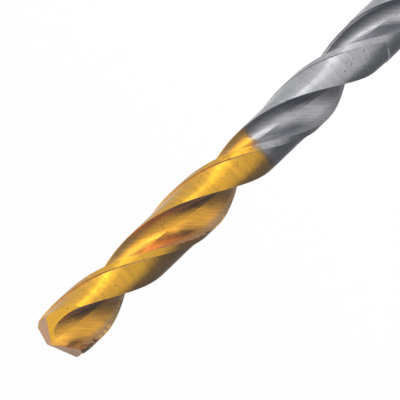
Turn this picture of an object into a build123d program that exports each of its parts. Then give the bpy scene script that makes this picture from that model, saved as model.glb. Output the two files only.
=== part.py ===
"""Twist drill bit: a two-flute jobber drill ground from one bar, with a split point.

The shank's flat end is at z = 0 and the point is at the top. The lips at the point
lie along X. Distances down the drill are measured from the point, and called depth.
Each cut is made once, on the side of the lip that lies towards +X, and repeated
half a turn round.
"""
from build123d import *
from math import atan, atan2, ceil, cos, degrees, hypot, pi, radians, sin, sqrt, tan
import os

# ---- driving dimensions, in millimetres and degrees ----
OVERALL_LENGTH = 86.0
DRILL_DIAMETER = 5.0        # over the margins, and of the shank
SHANK_CHAMFER = 0.4

LEAD = 30.83                # one full turn of the flutes, a helix of 27 degrees
FLUTE_LENGTH = 52.0         # from the point to the end of the flutes' run-out
RUN_OUT_LENGTH = 7.0        # where the flutes rise to the surface
WEB_AT_POINT = 1.02         # core left between the flutes
WEB_GROWTH = 0.012          # growth of the core for each millimetre of depth
HEEL_HOOK = 25.0            # lean of the flute's wall at the heel, from the radius
LAND_ANGLE = 78.9           # from the leading edge to the heel, seen along the axis
LAND_GROWTH = 0.296         # degrees more for each millimetre of depth

MARGIN_WIDTH = 0.60         # the full-size strip, measured square to its helix
CLEARANCE_LENGTH = 43.7     # from the point to the shoulder where it stops
CLEARANCE_FADE = 13.0       # last stretch of it, where it gets shallower
WALL_STEP = 0.13            # depth of the body clearance at the wall behind the margin
MARGIN_STEP = 0.21          # where the hollow at this wall ends
HEEL_STEP = 0.265           # and at the heel
FADED_WALL_STEP = 0.07      # the same three depths at the shoulder
FADED_MARGIN_STEP = 0.11
FADED_HEEL_STEP = 0.05
MARGIN_HOLLOW = 16.0        # angle that the hollow takes

POINT_ANGLE = 130.0
LIP_RELIEF = 17.7           # fall of the flank behind the lip
RIDGE_ANGLE = 42.8          # from the lip back to the ridge between flank and heel
HEEL_FACET_TILT = 57.0      # fall of the heel facet, square to the ridge
SPLIT_ANGLE = 34.0          # from the lip to the inner edge of the split point
THINNED_WEB = 0.10          # core left between the two inner edges
GASH_TILT = 47.0            # fall of the gash, square to the inner edge

# ---- sizes that follow ----
RADIUS = DRILL_DIAMETER / 2
TWIST = 360 / LEAD                      # degrees for each millimetre
HELIX_ANGLE = atan(pi * DRILL_DIAMETER / LEAD)
MARGIN_ANGLE = degrees(MARGIN_WIDTH / cos(HELIX_ANGLE) / RADIUS)
LIP_SLOPE = 1 / tan(radians(POINT_ANGLE / 2))
RELIEF_SLOPE = tan(radians(LIP_RELIEF))
POINT = Vector(0, 0, OVERALL_LENGTH)

# ---- how the surfaces are built ----
PAST_POINT = 1.5            # cutters start this far past the point
OUTSIDE = 0.6               # and reach this far past the bar
SECTION_TURN = 45.0         # twist between two sections of a loft, in degrees
RAKE_POINTS = 5             # points along the rake side of a flute's section
PAST_END = 0.7              # the flute's cutter rises out of the bar on this stretch
PAST_HEEL = 8.0             # angle by which the clearance runs out over the flute


def polar(radius, angle):
    return Vector(radius * cos(radians(angle)), radius * sin(radians(angle)))


def angle_of(point):
    return degrees(atan2(point.Y, point.X))


def core_radius(depth):
    return (WEB_AT_POINT + WEB_GROWTH * max(depth, 0)) / 2


def land_angle(depth):
    return LAND_ANGLE + LAND_GROWTH * max(depth, 0)


def rake_point(along, core):
    """A point of a flute's rake side, shaped so that the lip comes out straight.

    The lip runs `core` ahead of a diameter and falls outwards with the point angle.
    Its points are turned back along the helix to the level of one section.
    """
    lip_depth = along * LIP_SLOPE - core_radius(0) * RELIEF_SLOPE
    return polar(hypot(along, core), degrees(atan2(core, along)) + TWIST * lip_depth)


def leading_edge_angle(core):
    return angle_of(rake_point(sqrt(RADIUS**2 - core**2), core))


LEADING_EDGE = leading_edge_angle(core_radius(0))


def level(depth):
    """The plane across the drill at this depth, turned with the helix."""
    return Pos(0, 0, OVERALL_LENGTH - depth) * Rot(0, 0, -TWIST * depth)


def depths(first, last):
    """Depths of a loft's sections, both ends included."""
    steps = max(2, ceil((last - first) * TWIST / SECTION_TURN))
    return [first + (last - first) * i / steps for i in range(steps + 1)]


# ---- the bar ----
def bar():
    upwards = (Align.CENTER, Align.CENTER, Align.MIN)
    plain = Cylinder(RADIUS, OVERALL_LENGTH, align=upwards)
    return chamfer(plain.edges().group_by(Axis.Z)[0], SHANK_CHAMFER)


# ---- flutes ----
def wheel_lift(depth):
    """How far the grinding wheel has risen on its arc out of the flute."""
    rise = RADIUS - core_radius(FLUTE_LENGTH)
    wheel_radius = (RUN_OUT_LENGTH**2 + rise**2) / (2 * rise)
    travelled = max(depth - (FLUTE_LENGTH - RUN_OUT_LENGTH), 0)
    return wheel_radius - sqrt(wheel_radius**2 - travelled**2)


def flute_section(depth):
    """Outline of one flute at this depth, closed outside the bar."""
    core = core_radius(depth)
    reach = sqrt((RADIUS + OUTSIDE) ** 2 - core**2)
    rake = [rake_point(reach * i / (RAKE_POINTS - 1), core) for i in range(RAKE_POINTS)]
    root_line = (rake_point(-core, core) - rake[0]).normalized()
    rake_side = Spline(*rake, tangents=[-root_line, rake[-1] - rake[-2]])

    heel_angle = leading_edge_angle(core) + 180 - land_angle(depth)
    heel = polar(RADIUS - HEEL_STEP, heel_angle)
    wall = polar(1, heel_angle - HEEL_HOOK)
    past_heel = heel + wall * (HEEL_STEP + OUTSIDE)
    hollow = Spline(rake[0], heel, past_heel, tangents=[root_line, wall])

    middle = (angle_of(rake[-1]) + angle_of(past_heel)) / 2
    cover = ThreePointArc(rake[-1], polar(RADIUS + 2 * OUTSIDE, middle), past_heel)
    outline = Wire([rake_side, cover, hollow])
    raised = Pos(polar(wheel_lift(depth), middle))
    keep_edge_on_helix = Rot(0, 0, LEADING_EDGE - leading_edge_angle(core))
    return level(depth) * keep_edge_on_helix * raised * outline


def flute_cutter():
    run_out = depths(FLUTE_LENGTH - RUN_OUT_LENGTH, FLUTE_LENGTH + PAST_END)
    full = depths(-PAST_POINT, run_out[0])
    return Solid.make_loft([flute_section(depth) for depth in full + run_out[1:]])


# ---- body clearance ----
def clearance_section(depth):
    """Outline of the clearance of one land: a band outside the bar and into it."""
    faded = max(depth - (CLEARANCE_LENGTH - CLEARANCE_FADE), 0) / CLEARANCE_FADE
    wall_step = WALL_STEP + (FADED_WALL_STEP - WALL_STEP) * faded
    margin_step = MARGIN_STEP + (FADED_MARGIN_STEP - MARGIN_STEP) * faded
    heel_step = HEEL_STEP + (FADED_HEEL_STEP - HEEL_STEP) * faded
    start = LEADING_EDGE - MARGIN_ANGLE
    end = LEADING_EDGE - land_angle(depth) - PAST_HEEL
    middle = (start + end) / 2
    foot = polar(RADIUS - wall_step, start)
    hollow_end = polar(RADIUS - margin_step, start - MARGIN_HOLLOW)
    half_way = polar(RADIUS - (margin_step + heel_step) / 2, middle)
    tail = polar(RADIUS - heel_step, end)
    floor = Spline(foot, hollow_end, half_way, tail)
    outer = [polar(RADIUS + OUTSIDE, angle) for angle in (start, middle, end)]
    cover = ThreePointArc(*outer)
    outline = Wire([floor, Line(tail, outer[2]), cover, Line(outer[0], foot)])
    return level(depth) * outline


def clearance_cutter():
    fade = depths(CLEARANCE_LENGTH - CLEARANCE_FADE, CLEARANCE_LENGTH)
    full = depths(-PAST_POINT, fade[0])
    return Solid.make_loft([clearance_section(depth) for depth in full + fade[1:]])


# ---- point ----
def down_line(angle, fall):
    """A direction that leads outwards at this angle and falls as it goes."""
    return Vector(cos(radians(angle)), sin(radians(angle)), -fall)


def above_facet(start, edge, side):
    """Everything above a flat facet that holds this point and both directions."""
    upwards = edge.cross(side)
    if upwards.Z < 0:
        upwards = -upwards
    width = 4 * (DRILL_DIAMETER + OUTSIDE)
    block = Box(width, width, width, align=(Align.CENTER, Align.CENTER, Align.MIN))
    return Plane(origin=start, x_dir=edge, z_dir=upwards) * block


def flank_fall(angle):
    """Fall of the flank behind the +X lip, for each millimetre in this direction."""
    return cos(radians(angle)) * LIP_SLOPE - sin(radians(angle)) * RELIEF_SLOPE


def flank_cutter():
    return above_facet(POINT, down_line(0, LIP_SLOPE), down_line(-90, RELIEF_SLOPE))


def above_heel_facet():
    """Everything above the facet behind the other lip's flank, down to the flute."""
    ridge = down_line(180 - RIDGE_ANGLE, flank_fall(-RIDGE_ANGLE))
    heel_side = down_line(90 - RIDGE_ANGLE, tan(radians(HEEL_FACET_TILT)))
    return above_facet(POINT, ridge, heel_side)


def heel_cutter():
    """The heel facet's outer part, clear of the web and of the +X lip."""
    return split(above_heel_facet(), Plane.XZ.offset(-WEB_AT_POINT), keep=Keep.BOTTOM)


def gash_cutter():
    """The notch at the web that leaves the +X lip its inner edge."""
    inner_edge = down_line(SPLIT_ANGLE, flank_fall(SPLIT_ANGLE))
    ahead = SPLIT_ANGLE + 90
    start = POINT + down_line(ahead, flank_fall(ahead)) * (THINNED_WEB / 2)
    gash_side = down_line(ahead, tan(radians(GASH_TILT)))
    return above_heel_facet() & above_facet(start, inner_edge, gash_side)


# ---- the drill ----
cutters = [flute_cutter(), clearance_cutter(), flank_cutter(), heel_cutter(), gash_cutter()]
twist_drill = bar() - [Rot(0, 0, turn) * cutter for turn in (0, 180) for cutter in cutters]

os.makedirs("parts", exist_ok=True)
export_step(twist_drill, "parts/twist_drill.step")
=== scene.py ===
from math import cos, pi, radians, sin, tan
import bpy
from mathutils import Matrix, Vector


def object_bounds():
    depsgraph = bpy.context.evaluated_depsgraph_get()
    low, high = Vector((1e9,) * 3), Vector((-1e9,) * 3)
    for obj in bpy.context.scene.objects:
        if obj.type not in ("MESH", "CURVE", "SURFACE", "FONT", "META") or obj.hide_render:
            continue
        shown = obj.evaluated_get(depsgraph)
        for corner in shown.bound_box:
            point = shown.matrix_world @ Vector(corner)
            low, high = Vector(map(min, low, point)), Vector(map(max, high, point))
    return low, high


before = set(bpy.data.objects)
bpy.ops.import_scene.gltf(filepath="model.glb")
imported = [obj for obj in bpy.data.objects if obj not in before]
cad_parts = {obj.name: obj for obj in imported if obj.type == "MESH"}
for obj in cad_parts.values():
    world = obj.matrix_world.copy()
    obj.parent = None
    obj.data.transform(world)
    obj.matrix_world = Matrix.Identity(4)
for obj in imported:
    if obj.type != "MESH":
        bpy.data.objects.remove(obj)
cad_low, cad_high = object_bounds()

from types import SimpleNamespace

import bpy
from mathutils import Quaternion, Vector

# Twist drill bit: the finishes of its ground and coated surfaces, and a small studio
# around it. The scene is in metres. The drill's own sizes are in millimetres and
# degrees, measured down from its point, and the materials work in those.
MM = 0.001

# ---- the drill's sizes that its finishes follow ----
OVERALL_LENGTH = (cad_high.z - cad_low.z) / MM
RADIUS = (cad_high.y - cad_low.y) / 2 / MM
LEAD = 30.83
TWIST = 2 * pi / LEAD                # radians for each millimetre
LEADING_EDGE = 23.3                  # angle of the +X margin's edge at the point
MARGIN_ANGLE = 15.4                  # from that edge back to the end of the margin
LAND_ANGLE = 78.9                    # and back to the heel
LAND_GROWTH = 0.296                  # more of it for each millimetre of depth
LAND_FLOOR = 2.19                    # no land or margin is nearer to the axis
POINT_ANGLE = 130
LIP_RELIEF = 17.7                    # fall of the flank behind the lip
FLANK_FALL = (1 / tan(radians(POINT_ANGLE / 2)), -tan(radians(LIP_RELIEF)), 0)
HEEL_FACET_FALL = (0.636, 1.510, 0)  # both for each millimetre across
HEEL_FACET_LEVEL = (-0.922, 0.388, 0)  # way in which this facet doesn't fall
FLUTE_WAY = (-0.292, -0.956, 0)      # from the axis to the middle of one flute
ACROSS_FLUTE = (-0.956, 0.292, 0)

# ---- what the inputs and outputs of a mix are called ----
FACTOR, NUMBER_A, NUMBER_B, COLOUR_A, COLOUR_B, COLOUR = 0, 2, 3, 6, 7, 2


def colour(hex_code):
    """A linear colour from the sRGB one."""
    channels = [int(hex_code[i:i + 2], 16) / 255 for i in (1, 3, 5)]
    linear = [c / 12.92 if c <= 0.04045 else ((c + 0.055) / 1.055) ** 2.4 for c in channels]
    return linear + [1.0]


def add(tree, kind, inputs=(), **settings):
    """Adds a node and returns its outputs. An input is a value or another node's output."""
    node = tree.nodes.new(kind)
    for name, value in settings.items():
        setattr(node, name, value)
    for name, value in dict(inputs).items():
        if isinstance(value, bpy.types.NodeSocket):
            tree.links.new(value, node.inputs[name])
        else:
            node.inputs[name].default_value = value
    return node.outputs


def new_material(name):
    material = bpy.data.materials.new(name)
    material.use_nodes = True
    material.node_tree.nodes.clear()
    return material, material.node_tree


# ---- camera ----
CAMERA_AZIMUTH = 63.2                # from +X towards +Y
CAMERA_ELEVATION = 27.22
CAMERA_ROLL = -133.82
CAMERA_PLACE = Vector((157.48, 312.25, 245.71)) * MM
CAMERA_LENS = 401.4                  # on Blender's 36 mm sensor


def set_up_camera():
    lens = bpy.data.cameras.new("camera")
    lens.lens = CAMERA_LENS
    lens.clip_start = 0.01
    camera = bpy.data.objects.new("camera", lens)
    bpy.context.scene.collection.objects.link(camera)
    azimuth, elevation = radians(CAMERA_AZIMUTH), radians(CAMERA_ELEVATION)
    out = Vector((cos(azimuth) * cos(elevation), sin(azimuth) * cos(elevation), sin(elevation)))
    level = (-out).to_track_quat("-Z", "Y")
    camera.rotation_mode = "QUATERNION"
    camera.rotation_quaternion = level @ Quaternion((0, 0, 1), radians(CAMERA_ROLL))
    camera.location = CAMERA_PLACE
    bpy.context.scene.camera = camera


# ---- studio ----
FLOOR_SIZE = 6.0
FLOOR_GLOW = 0.7                     # share of white glow where the floor is seen
AMBIENT = 0.9                        # strength of the world as light
TENT_MIDDLE = Vector((0, 0, 0.062))
TENT_RADIUS = 0.8
SOFT_BOX_PLACE = Vector((0.10, 0.35, 0.5))
SOFT_BOX_SIZE = 0.5
SOFT_BOX_WATTS = 1.5
TENT_TOP_TONE = 2.5                  # no tone is brighter
# Brightness of the tent's cloth and cards, in bands from its foot up. Each band is its
# height as an angle from the middle of the tent, and then the tones round it by their
# angle from the camera, clockwise from above. They are fitted to the side of the drill
# that the camera sees, and only likely for its other sides.
TENT_BANDS = [
    (-62, [(-180, 0.17), (-110, 0.23), (-60, 0.36), (-28, 0.68), (17, 0.86), (62, 0.70),
           (100, 0.34), (140, 0.20), (180, 0.17)]),
    (-47, [(-180, 0.17), (-110, 0.19), (-75, 0.26), (-45, 0.47), (-28, 0.73), (17, 0.68),
           (47, 0.66), (62, 0.45), (92, 0.21), (130, 0.09), (180, 0.17)]),
    (-39, [(-180, 0.50), (-110, 0.60), (-78, 0.98), (-50, 1.0), (-28, 0.86), (17, 0.70),
           (47, 0.62), (62, 0.32), (92, 0.14), (130, 0.08), (180, 0.50)]),
    (-28, [(-180, 0.80), (-140, 0.60), (-88, 0.62), (-55, 0.76), (-48, 1.35), (-30, 1.25),
           (-12, 0.84), (32, 0.64), (46, 0.52), (58, 0.36), (72, 0.14), (112, 0.10),
           (150, 0.12), (180, 0.80)]),
    (-13, [(-180, 0.55), (-118, 0.62), (-88, 0.85), (-70, 0.95), (-56, 1.5), (-50, 2.4),
           (-42, 2.4), (-30, 1.4), (-13, 0.7), (34, 0.57), (48, 0.20), (70, 0.02),
           (115, 0.0), (150, 0.0), (180, 0.55)]),
    (5, [(-180, 0.50), (-90, 1.0), (-62, 1.5), (-24, 1.5), (-8, 1.0), (6, 0.58),
         (32, 0.48), (62, 0.50), (85, 0.06), (130, 0.03), (180, 0.50)]),
    (25, [(-180, 0.55), (-60, 1.1), (-10, 0.84), (30, 0.50), (70, 0.55), (100, 0.85),
          (130, 0.60), (180, 0.50)]),
]


def backdrop_rays(tree):
    """1 for the rays that see the backdrop: the camera's, mirrored and passed through."""
    path = add(tree, "ShaderNodeLightPath")
    seen = path["Is Camera Ray"]
    for ray in ("Is Glossy Ray", "Is Transmission Ray"):
        seen = add(tree, "ShaderNodeMath", {0: seen, 1: path[ray]}, operation="MAXIMUM")[0]
    return seen


def light_world():
    world = bpy.data.worlds.new("studio")
    world.use_nodes = True
    bpy.context.scene.world = world
    tree = world.node_tree
    tree.nodes.clear()
    seen = backdrop_rays(tree)
    strength = add(tree, "ShaderNodeMapRange", {"Value": seen, "To Min": AMBIENT})[0]
    background = add(tree, "ShaderNodeBackground", {
        "Color": colour("#FFFFFF"), "Strength": strength})[0]
    add(tree, "ShaderNodeOutputWorld", {"Surface": background})


def lay_floor():
    """Floor of white matt paint on board: no gloss at all, so it shows only the shadow.

    It stays white where it is seen. The drill doesn't mirror it, but the tent, which goes
    on below it.
    """
    bpy.ops.mesh.primitive_plane_add(size=FLOOR_SIZE)
    floor = bpy.context.object
    floor.name = "floor"
    material, tree = new_material("matt_white_floor")
    paint = add(tree, "ShaderNodeBsdfDiffuse", {"Color": colour("#F4F4F4")})[0]
    glow = add(tree, "ShaderNodeEmission", {"Color": colour("#FFFFFF")})[0]
    seen = backdrop_rays(tree)
    share = add(tree, "ShaderNodeMath", {0: seen, 1: FLOOR_GLOW}, operation="MULTIPLY")[0]
    surface = add(tree, "ShaderNodeMixShader", {0: share, 1: paint, 2: glow})[0]
    add(tree, "ShaderNodeOutputMaterial", {"Surface": surface})
    floor.data.materials.append(material)
    floor.visible_glossy = False


def put_up_light_tent():
    """Lit white cloth with grey and black cards behind it, which only the metal mirrors.

    Polished metal shows little but what is round it, so these tones give the drill its
    bright streaks and its dark edges.
    """
    bpy.ops.mesh.primitive_uv_sphere_add(
        segments=96, ring_count=48, radius=TENT_RADIUS, location=TENT_MIDDLE)
    tent = bpy.context.object
    tent.name = "light_tent"
    material, tree = new_material("light_tent_cloth")
    place = add(tree, "ShaderNodeTexCoord")["Object"]
    way = add(tree, "ShaderNodeVectorMath", {0: place}, operation="NORMALIZE")[0]
    part = add(tree, "ShaderNodeSeparateXYZ", {0: way})
    height = add(tree, "ShaderNodeMath", {0: part["Z"]}, operation="ARCSINE")[0]
    azimuth = add(tree, "ShaderNodeMath", {0: part["Y"], 1: part["X"]}, operation="ARCTAN2")[0]
    start = radians(CAMERA_AZIMUTH)
    turned = add(tree, "ShaderNodeMath", {0: start, 1: azimuth}, operation="SUBTRACT")[0]
    wrapped = add(tree, "ShaderNodeMath", {0: turned, 1: pi, 2: -pi}, operation="WRAP")[0]
    share = add(tree, "ShaderNodeMapRange", {
        "Value": wrapped, "From Min": -pi, "From Max": pi})[0]
    tone, below = None, None
    for angle_up, tones in TENT_BANDS:
        band = add(tree, "ShaderNodeValToRGB", {0: share})[0]
        ramp = band.node.color_ramp
        while len(ramp.elements) < len(tones):
            ramp.elements.new(0.5)
        for element, (angle, level) in zip(ramp.elements, tones):
            element.position = angle / 360 + 0.5
            element.color = [level / TENT_TOP_TONE] * 3 + [1]
        if tone is None:
            tone = band
        else:
            rise = add(tree, "ShaderNodeMapRange", {
                "Value": height, "From Min": radians(below), "From Max": radians(angle_up)})[0]
            tone = add(tree, "ShaderNodeMix", {
                FACTOR: rise, COLOUR_A: tone, COLOUR_B: band}, data_type="RGBA")[COLOUR]
        below = angle_up
    glow = add(tree, "ShaderNodeEmission", {"Color": tone, "Strength": TENT_TOP_TONE})[0]
    add(tree, "ShaderNodeOutputMaterial", {"Surface": glow})
    tent.data.materials.append(material)
    tent.visible_camera = False
    tent.visible_diffuse = False
    tent.visible_shadow = False


def hang_soft_box():
    lamp = bpy.data.lights.new("soft_box", "AREA")
    lamp.size = SOFT_BOX_SIZE
    lamp.energy = SOFT_BOX_WATTS
    box = bpy.data.objects.new("soft_box", lamp)
    bpy.context.scene.collection.objects.link(box)
    box.location = SOFT_BOX_PLACE
    box.visible_glossy = False
    box.rotation_mode = "QUATERNION"
    box.rotation_quaternion = (TENT_MIDDLE - SOFT_BOX_PLACE).to_track_quat("-Z", "Y")


# ---- finishes ----
GOLD = "#F1B214"                     # the coat on the lands and the heel facets
GOLD_FLUTE = "#F2AE2C"               # and in the flutes
FLANK_TAN = "#D3A273"                # the coat on the flanks, which are duller
EDGE_HIGHLIGHT_TAN = "#ECB650"               # painted highlight: the rake face beside the leading edge, paler
EDGE_HIGHLIGHT_PALE = "#DAB380"              # and paler still at its brink, painted highlight too
WALL_SHADE = "#E0AE50"               # painted shade on the wall behind the margin's step
HEEL_SHADE_ON_COAT = "#574D42"              # painted shade in the flutes round the heel, on the coat
TARNISH = "#7A5C42"                  # where the coat thins out
STEEL = "#BEBEC0"
HEEL_SHADE_ON_STEEL = "#4C4D50"               # the same painted shade on the bare steel
SHEEN_BLUE = "#D6E2FF"

# Where each finish starts and stops. Radii and depths are in millimetres.
COAT_END = 28.0                      # depth at which the coat stops, at the axis
COAT_REACH = 0.4                     # how much further it goes in the flutes
COAT_LEAN = (0.23, 0.46, 0)          # less than that, for each millimetre this way
COAT_BLUR = 0.45                     # each side of the edge
COAT_CLOUDS = 0.8                    # clouds in each millimetre of that edge
COAT_CLOUD_REACH = 1.2               # how far a full cloud carries it down
COAT_CLOUD_MIDDLE = 0.7              # taken off again, for about half a cloud
FACE_BLUR = 0.02                     # on which a mask goes from none to full
HEEL_BLUR = 0.04                     # in radians
FLANK_REACH = 0.03                   # how near to its plane a face's finish starts
HEEL_FACET_REACH = 0.04
WALL_ANGLES = (1, 5)                 # behind the margin, full and gone, for that painted shade
EDGE_HIGHLIGHT_ANGLES = (140, 160)           # behind the leading edge, none and full
EDGE_HIGHLIGHT_RADII = (1.5, 2.1)
BRINK_RADII = (1.6, 2.1)
HEEL_SHADE_CORE = 0.35                    # distance from the heel's corner, full painted shade
HEEL_SHADE_REACH = (1.4, 0.9)             # none from here on, on bare steel and on the coat
HEEL_SHADE_MOST = (0.90, 0.65)            # how much of the colour it takes, likewise

# Grinding lines in each millimetre. Real ones lie some 0.03 mm apart and wouldn't show, so
# they are drawn about five times as coarse.
ROUND_LINES = (0.6, 0.6, 7.0)        # round the lands and the shank, 0.14 mm apart
RIPPLES = (0.25, 0.25, 2.2)          # and the wheel's chatter between them
FLUTE_LINES = (6.5, 5.0, 0.5)        # across a flute, from flute to flute, and down
STREAK_SLOPE = 0.6                   # of these, across for each millimetre down
FACET_LINES = 7.0
LINE_DEPTH = 0.007
LINE_CONTRAST = (0.15, 0.85)
GRAIN_SHADE = (0.78, 1.22)           # colour in the grooves and on the ridges

# Small pits, drawn as coarse as they need to be to show.
PITS = 2.6                           # in each millimetre
PIT_SIZES = (0.26, 0.12)             # rim and floor, as shares of their spacing
PIT_PATCHES = 1.1                    # in each millimetre
PATCH_EDGE = (0.50, 0.60)
PIT_SHADE = 0.45
THIN_SHARE = 0.55                    # of tarnish, at most

ROUGHNESS_LAND = 0.18
ROUGHNESS_FLUTE = (0.28, 0.20)       # bare steel and coat
ROUGHNESS_FLANK = 0.5
# rougher finish under the painted highlight beside the leading edge
ROUGHNESS_BESIDE_EDGE = 0.55


def places_on_drill(tree):
    """Where a point of the surface is, in millimetres and radians.

    `still` is its place turned back along the helix, so that lands and flutes stand
    still in it, and `behind` is how far it lies behind the leading edge there.
    """
    place = add(tree, "ShaderNodeTexCoord")["Object"]
    mm = add(tree, "ShaderNodeVectorMath", {0: place, "Scale": 1 / MM}, operation="SCALE")[0]
    raw = add(tree, "ShaderNodeSeparateXYZ", {0: mm})
    depth = add(tree, "ShaderNodeMath", {0: OVERALL_LENGTH, 1: raw["Z"]}, operation="SUBTRACT")[0]
    twist = add(tree, "ShaderNodeMath", {0: depth, 1: TWIST}, operation="MULTIPLY")[0]
    still = add(tree, "ShaderNodeVectorRotate", {
        "Vector": mm, "Angle": twist}, rotation_type="Z_AXIS")[0]
    part = add(tree, "ShaderNodeSeparateXYZ", {0: still})
    angle = add(tree, "ShaderNodeMath", {0: part["Y"], 1: part["X"]}, operation="ARCTAN2")[0]
    back = add(tree, "ShaderNodeMath", {
        0: radians(LEADING_EDGE), 1: angle}, operation="SUBTRACT")[0]
    behind = add(tree, "ShaderNodeMath", {0: back, 1: pi, 2: 0.0}, operation="WRAP")[0]
    across = add(tree, "ShaderNodeCombineXYZ", {"X": raw["X"], "Y": raw["Y"]})[0]
    radius = add(tree, "ShaderNodeVectorMath", {0: across}, operation="LENGTH")["Value"]
    heel = add(tree, "ShaderNodeMath", {
        0: depth, 1: radians(LAND_GROWTH), 2: radians(LAND_ANGLE)}, operation="MULTIPLY_ADD")[0]
    past_heel = add(tree, "ShaderNodeMath", {0: behind, 1: heel}, operation="SUBTRACT")[0]
    return SimpleNamespace(mm=mm, raw=raw, depth=depth, still=still, behind=behind,
                           across=across, radius=radius, past_heel=past_heel)


def point_face(tree, at, fall, reach):
    """1 on the two faces of the point that fall by this for each millimetre across."""
    drop = add(tree, "ShaderNodeVectorMath", {
        0: at.across, 1: fall}, operation="DOT_PRODUCT")["Value"]
    drop = add(tree, "ShaderNodeMath", {0: drop}, operation="ABSOLUTE")[0]
    under = add(tree, "ShaderNodeMath", {0: at.depth, 1: drop}, operation="SUBTRACT")[0]
    under = add(tree, "ShaderNodeMath", {0: under}, operation="ABSOLUTE")[0]
    return add(tree, "ShaderNodeMapRange", {
        "Value": under, "From Min": reach, "From Max": reach / 2})[0]


def faces_of_drill(tree, at):
    """1 on each of the drill's faces, and 0 off it. `round` is what has the full size."""
    before_heel = add(tree, "ShaderNodeMapRange", {
        "Value": at.past_heel, "From Min": HEEL_BLUR, "From Max": 0.0})[0]
    outside = add(tree, "ShaderNodeMapRange", {
        "Value": at.radius, "From Min": LAND_FLOOR, "From Max": LAND_FLOOR + FACE_BLUR})[0]
    land = add(tree, "ShaderNodeMath", {0: before_heel, 1: outside}, operation="MULTIPLY")[0]
    full_round = add(tree, "ShaderNodeMapRange", {
        "Value": at.radius, "From Min": RADIUS - 2 * FACE_BLUR, "From Max": RADIUS - FACE_BLUR})[0]
    land = add(tree, "ShaderNodeMath", {0: land, 1: full_round}, operation="MAXIMUM")[0]
    flute = add(tree, "ShaderNodeMath", {0: 1.0, 1: land}, operation="SUBTRACT")[0]
    flank = point_face(tree, at, FLANK_FALL, FLANK_REACH)
    heel_facet = point_face(tree, at, HEEL_FACET_FALL, HEEL_FACET_REACH)
    facet = add(tree, "ShaderNodeMath", {0: flank, 1: heel_facet}, operation="MAXIMUM")[0]
    return SimpleNamespace(land=land, round=full_round, flute=flute, flank=flank,
                           heel_facet=heel_facet, facet=facet)


def coat_on_drill(tree, at, face):
    """1 where the coat is. It stops in a cloudy edge, on a slant, and lower in the flutes."""
    cloud = add(tree, "ShaderNodeTexNoise", {
        "Vector": at.mm, "Scale": COAT_CLOUDS, "Detail": 3.0})[0]
    edge = add(tree, "ShaderNodeMath", {
        0: cloud, 1: COAT_CLOUD_REACH, 2: COAT_END + COAT_REACH - COAT_CLOUD_MIDDLE},
        operation="MULTIPLY_ADD")[0]
    lean = add(tree, "ShaderNodeVectorMath", {
        0: at.across, 1: COAT_LEAN}, operation="DOT_PRODUCT")["Value"]
    edge = add(tree, "ShaderNodeMath", {0: edge, 1: lean}, operation="SUBTRACT")[0]
    edge = add(tree, "ShaderNodeMath", {
        0: face.land, 1: -COAT_REACH, 2: edge}, operation="MULTIPLY_ADD")[0]
    past = add(tree, "ShaderNodeMath", {0: at.depth, 1: edge}, operation="SUBTRACT")[0]
    return add(tree, "ShaderNodeMapRange", {
        "Value": past, "From Min": COAT_BLUR, "From Max": -COAT_BLUR},
        interpolation_type="SMOOTHSTEP")[0]


# Painted shade: a darker line on the wall behind the margin, where the step shades it.
def painted_shade_behind_margin(tree, at, face):
    full, gone = WALL_ANGLES
    wall = add(tree, "ShaderNodeMapRange", {
        "Value": at.behind, "From Min": radians(MARGIN_ANGLE + gone),
        "From Max": radians(MARGIN_ANGLE + full)})[0]
    recess = add(tree, "ShaderNodeMath", {0: 1.0, 1: face.round}, operation="SUBTRACT")[0]
    wall = add(tree, "ShaderNodeMath", {0: wall, 1: recess}, operation="MULTIPLY")[0]
    return add(tree, "ShaderNodeMath", {0: wall, 1: face.land}, operation="MULTIPLY")[0]


def painted_highlight_on_rake_face(tree, at, face):
    """Painted highlight: paler colour on the rake face beside the leading edge, which also gets a
    rougher finish.
    """
    none, full = EDGE_HIGHLIGHT_ANGLES
    near = add(tree, "ShaderNodeMapRange", {
        "Value": at.behind, "From Min": radians(none), "From Max": radians(full)})[0]
    none, full = EDGE_HIGHLIGHT_RADII
    outer = add(tree, "ShaderNodeMapRange", {
        "Value": at.radius, "From Min": none, "From Max": full})[0]
    edge_highlight = add(tree, "ShaderNodeMath", {0: near, 1: outer}, operation="MULTIPLY")[0]
    return add(tree, "ShaderNodeMath", {0: edge_highlight, 1: face.flute}, operation="MULTIPLY")[0]


def painted_shade_under_heel(tree, at, face, coat):
    """Painted shade: darkening in the flute's hollow round the heel's corner, which the heel shades.
    """
    off = add(tree, "ShaderNodeMath", {0: at.past_heel}, operation="COSINE")[0]
    beside = add(tree, "ShaderNodeMath", {0: off, 1: at.radius}, operation="MULTIPLY")[0]
    off = add(tree, "ShaderNodeMath", {0: at.past_heel}, operation="SINE")[0]
    aside = add(tree, "ShaderNodeMath", {0: off, 1: at.radius}, operation="MULTIPLY")[0]
    off = add(tree, "ShaderNodeCombineXYZ", {"X": beside, "Y": aside})[0]
    off = add(tree, "ShaderNodeVectorMath", {
        0: off, 1: (LAND_FLOOR, 0, 0)}, operation="DISTANCE")["Value"]
    bare, coated = HEEL_SHADE_REACH
    reach = add(tree, "ShaderNodeMapRange", {"Value": coat, "To Min": bare, "To Max": coated})[0]
    bare, coated = HEEL_SHADE_MOST
    most = add(tree, "ShaderNodeMapRange", {"Value": coat, "To Min": bare, "To Max": coated})[0]
    heel_shade = add(tree, "ShaderNodeMapRange", {
        "Value": off, "From Min": reach, "From Max": HEEL_SHADE_CORE, "To Max": most})[0]
    clear = add(tree, "ShaderNodeMath", {
        0: face.flute, 1: face.facet}, operation="SUBTRACT", use_clamp=True)[0]
    return add(tree, "ShaderNodeMath", {0: heel_shade, 1: clear}, operation="MULTIPLY")[0]


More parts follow.
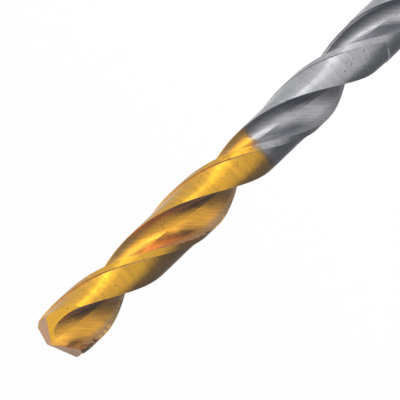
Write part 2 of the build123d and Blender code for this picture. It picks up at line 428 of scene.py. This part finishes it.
def grinding_lines(tree, at, face):
    """Lines round the lands and shank, slantwise down the flutes, and down the facets."""
    fine = add(tree, "ShaderNodeVectorMath", {0: at.mm, 1: ROUND_LINES}, operation="MULTIPLY")[0]
    fine = add(tree, "ShaderNodeTexNoise", {"Vector": fine, "Scale": 1.0, "Detail": 2.0})[0]
    ripple = add(tree, "ShaderNodeVectorMath", {0: at.mm, 1: RIPPLES}, operation="MULTIPLY")[0]
    ripple = add(tree, "ShaderNodeTexNoise", {"Vector": ripple, "Scale": 1.0, "Detail": 1.0})[0]
    around = add(tree, "ShaderNodeMix", {FACTOR: 0.5, NUMBER_A: fine, NUMBER_B: ripple})[0]
    least, most = LINE_CONTRAST
    around = add(tree, "ShaderNodeMapRange", {"Value": around, "To Min": least, "To Max": most})[0]

    side = add(tree, "ShaderNodeVectorMath", {
        0: at.still, 1: FLUTE_WAY}, operation="DOT_PRODUCT")["Value"]
    side = add(tree, "ShaderNodeMath", {0: side}, operation="SIGN")[0]
    over = add(tree, "ShaderNodeVectorMath", {
        0: at.still, 1: ACROSS_FLUTE}, operation="DOT_PRODUCT")["Value"]
    over = add(tree, "ShaderNodeMath", {0: over, 1: side}, operation="MULTIPLY")[0]
    slant = add(tree, "ShaderNodeMath", {
        0: at.depth, 1: -STREAK_SLOPE, 2: over}, operation="MULTIPLY_ADD")[0]
    slanting = add(tree, "ShaderNodeCombineXYZ", {"X": slant, "Y": side, "Z": at.depth})[0]
    slanting = add(tree, "ShaderNodeVectorMath", {
        0: slanting, 1: FLUTE_LINES}, operation="MULTIPLY")[0]
    slanting = add(tree, "ShaderNodeTexNoise", {
        "Vector": slanting, "Scale": 1.0, "Detail": 2.5, "Roughness": 0.6})[0]
    lines = add(tree, "ShaderNodeMix", {
        FACTOR: face.land, NUMBER_A: slanting, NUMBER_B: around})[0]

    level = add(tree, "ShaderNodeVectorMath", {
        0: at.across, 1: HEEL_FACET_LEVEL}, operation="DOT_PRODUCT")["Value"]
    falling = add(tree, "ShaderNodeCombineXYZ", {"X": level, "Y": side})[0]
    falling = add(tree, "ShaderNodeTexNoise", {
        "Vector": falling, "Scale": FACET_LINES, "Detail": 2.0})[0]
    return add(tree, "ShaderNodeMix", {
        FACTOR: face.facet, NUMBER_A: lines, NUMBER_B: falling})[0]


def pits_in_patches(tree, at):
    rim, floor = PIT_SIZES
    pit = add(tree, "ShaderNodeTexVoronoi", {"Vector": at.mm, "Scale": PITS})["Distance"]
    pit = add(tree, "ShaderNodeMapRange", {"Value": pit, "From Min": rim, "From Max": floor})[0]
    none, full = PATCH_EDGE
    patch = add(tree, "ShaderNodeTexNoise", {
        "Vector": at.mm, "Scale": PIT_PATCHES, "Detail": 1.0})[0]
    patch = add(tree, "ShaderNodeMapRange", {"Value": patch, "From Min": none, "From Max": full})[0]
    return add(tree, "ShaderNodeMath", {0: pit, 1: patch}, operation="MULTIPLY")[0]


def metal_colour(tree, at, face, coat, edge_highlight, heel_shade, lines):
    """The coat's colours, each over the one before, then the bare steel below them."""
    # Painted highlight beside the leading edge, paler towards the brink.
    none, full = BRINK_RADII
    brink = add(tree, "ShaderNodeMapRange", {
        "Value": at.radius, "From Min": none, "From Max": full})[0]
    highlight_colour = add(tree, "ShaderNodeMix", {
        FACTOR: brink, COLOUR_A: colour(EDGE_HIGHLIGHT_TAN), COLOUR_B: colour(EDGE_HIGHLIGHT_PALE)},
        data_type="RGBA")[COLOUR]
    thin = add(tree, "ShaderNodeMath", {0: coat, 1: 0.5}, operation="SUBTRACT")[0]
    thin = add(tree, "ShaderNodeMath", {0: thin}, operation="ABSOLUTE")[0]
    thin = add(tree, "ShaderNodeMapRange", {
        "Value": thin, "From Min": 0.5, "From Max": 0.0, "To Max": THIN_SHARE})[0]
    # The bare steel, darkened by the painted shade under the heel.
    bare = add(tree, "ShaderNodeMix", {
        FACTOR: heel_shade, COLOUR_A: colour(STEEL), COLOUR_B: colour(HEEL_SHADE_ON_STEEL)},
        data_type="RGBA")[COLOUR]
    metal = colour(GOLD_FLUTE)
    # Over the gold go the painted highlight beside the leading edge and the painted shade on the
    # margin's wall and under the heel.
    for share, over in [(face.land, colour(GOLD)), (edge_highlight, highlight_colour),
                        (face.heel_facet, colour(GOLD)), (face.flank, colour(FLANK_TAN)),
                        (painted_shade_behind_margin(tree, at, face), colour(WALL_SHADE)),
                        (heel_shade, colour(HEEL_SHADE_ON_COAT))]:
        metal = add(tree, "ShaderNodeMix", {
            FACTOR: share, COLOUR_A: metal, COLOUR_B: over}, data_type="RGBA")[COLOUR]
    metal = add(tree, "ShaderNodeMix", {
        FACTOR: coat, COLOUR_A: bare, COLOUR_B: metal}, data_type="RGBA")[COLOUR]
    metal = add(tree, "ShaderNodeMix", {
        FACTOR: thin, COLOUR_A: metal, COLOUR_B: colour(TARNISH)}, data_type="RGBA")[COLOUR]
    groove, ridge = GRAIN_SHADE
    grain = add(tree, "ShaderNodeMapRange", {
        "Value": lines, "From Min": 0.3, "From Max": 0.7, "To Min": groove, "To Max": ridge})[0]
    speckle = add(tree, "ShaderNodeMapRange", {
        "Value": pits_in_patches(tree, at), "To Min": 1.0, "To Max": PIT_SHADE})[0]
    for shade in (grain, speckle):
        metal = add(tree, "ShaderNodeMix", {
            FACTOR: 1.0, COLOUR_A: metal, COLOUR_B: shade},
            data_type="RGBA", blend_type="MULTIPLY")[COLOUR]
    return metal


def metal_roughness(tree, face, coat, edge_highlight):
    bare, coated = ROUGHNESS_FLUTE
    roughness = add(tree, "ShaderNodeMapRange", {"Value": coat, "To Min": bare, "To Max": coated})[0]
    for share, over in [(face.land, ROUGHNESS_LAND), (face.flank, ROUGHNESS_FLANK),
                        (edge_highlight, ROUGHNESS_BESIDE_EDGE)]:
        roughness = add(tree, "ShaderNodeMapRange", {
            "Value": share, "To Min": roughness, "To Max": over})[0]
    return roughness


def way_of_lines(tree, at, face):
    """The lines' direction, for the glint that they draw out across themselves."""
    sideways = add(tree, "ShaderNodeMath", {0: at.raw["Y"], 1: -1.0}, operation="MULTIPLY")[0]
    climb = add(tree, "ShaderNodeMapRange", {
        "Value": face.land, "To Min": 1 / TWIST, "To Max": 0.0})[0]
    return add(tree, "ShaderNodeCombineXYZ", {"X": sideways, "Y": at.raw["X"], "Z": climb})[0]


def finish_drill(drill):
    """High-speed steel ground all over, with titanium nitride laid on its cutting half.

    The coat is a film that copies the ground steel under it, so the eye sees the same
    grinding lines in both, as yellow gold above and as grey below, with streaks of light
    drawn out across the lines. The flanks are duller. A thin clear coat and a faint sheen
    pale it all a little towards its rims.
    """
    material, tree = new_material("titanium_nitride_coat_on_ground_steel")
    at = places_on_drill(tree)
    face = faces_of_drill(tree, at)
    coat = coat_on_drill(tree, at, face)
    # painted highlight beside the leading edge
    edge_highlight = painted_highlight_on_rake_face(tree, at, face)
    # painted shade in the flutes under the heel
    heel_shade = painted_shade_under_heel(tree, at, face, coat)
    lines = grinding_lines(tree, at, face)
    bump = add(tree, "ShaderNodeBump", {
        "Strength": 1.0, "Distance": LINE_DEPTH * MM, "Height": lines})[0]
    surface = add(tree, "ShaderNodeBsdfPrincipled", {
        "Base Color": metal_colour(tree, at, face, coat, edge_highlight, heel_shade, lines),
        "Metallic": 1.0, "Roughness": metal_roughness(tree, face, coat, edge_highlight),
        "Normal": bump, "Anisotropic": 0.6, "Anisotropic Rotation": 0.25,
        "Tangent": way_of_lines(tree, at, face),
        "Coat Weight": 1.0, "Coat IOR": 1.25, "Coat Roughness": 0.2,
        "Sheen Weight": 0.09, "Sheen Roughness": 1.0, "Sheen Tint": colour(SHEEN_BLUE)})[0]
    add(tree, "ShaderNodeOutputMaterial", {"Surface": surface})
    drill.material_slots[0].material = material


bpy.ops.object.select_all(action="DESELECT")
bpy.context.scene.view_settings.view_transform = "Standard"
set_up_camera()
light_world()
lay_floor()
put_up_light_tent()
hang_soft_box()
finish_drill(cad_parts["twist_drill"])
